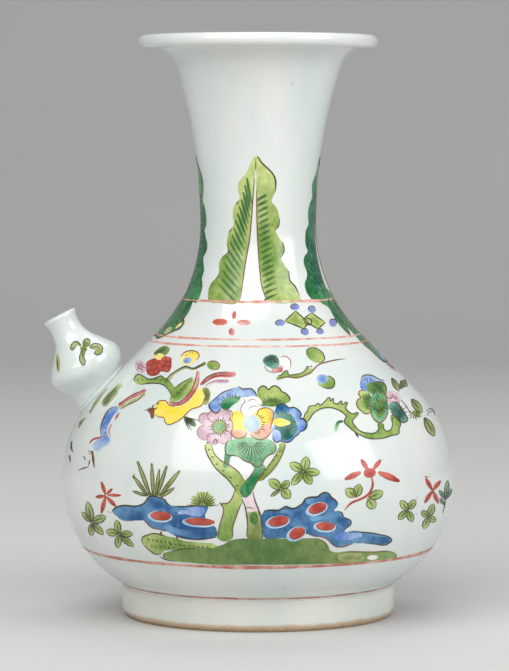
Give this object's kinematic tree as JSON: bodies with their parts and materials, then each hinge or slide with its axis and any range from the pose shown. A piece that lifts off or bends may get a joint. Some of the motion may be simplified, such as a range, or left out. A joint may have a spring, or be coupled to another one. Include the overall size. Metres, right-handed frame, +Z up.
{
  "type": "kendi",
  "caption": "Porcelain drinking vessel: round belly on a foot ring, trumpet neck with a flat lip, bulbous spout.",
  "frame": {"origin": "on the vessel's axis, in the plane that the foot ring stands on, at the mouth of its recess", "axes": "+Z up along the vessel's axis towards the mouth; the spout points to -X; the front faces -Y"},
  "size_m": [0.1456, 0.1396, 0.205],
  "materials": {
    "body_porcelain": "clear glossy glaze on white porcelain, painted with overglaze enamels",
    "foot_porcelain": "clear glossy glaze, wiped off the standing edge, which is bare and tan",
    "fired_slip": "fired porcelain slip, under the glaze outside and bare inside"
  },
  "bodies": {
    "root": {"foot_ring": "foot_porcelain", "foot_slip": "fired_slip", "lower_body": "body_porcelain", "belly_slip": "fired_slip", "upper_body": "body_porcelain", "neck_slip": "fired_slip", "neck": "body_porcelain", "spout_root_slip": "fired_slip", "spout_bulb": "body_porcelain", "nozzle_slip": "fired_slip", "spout_nozzle": "body_porcelain"}
  },
  "joints": []
}
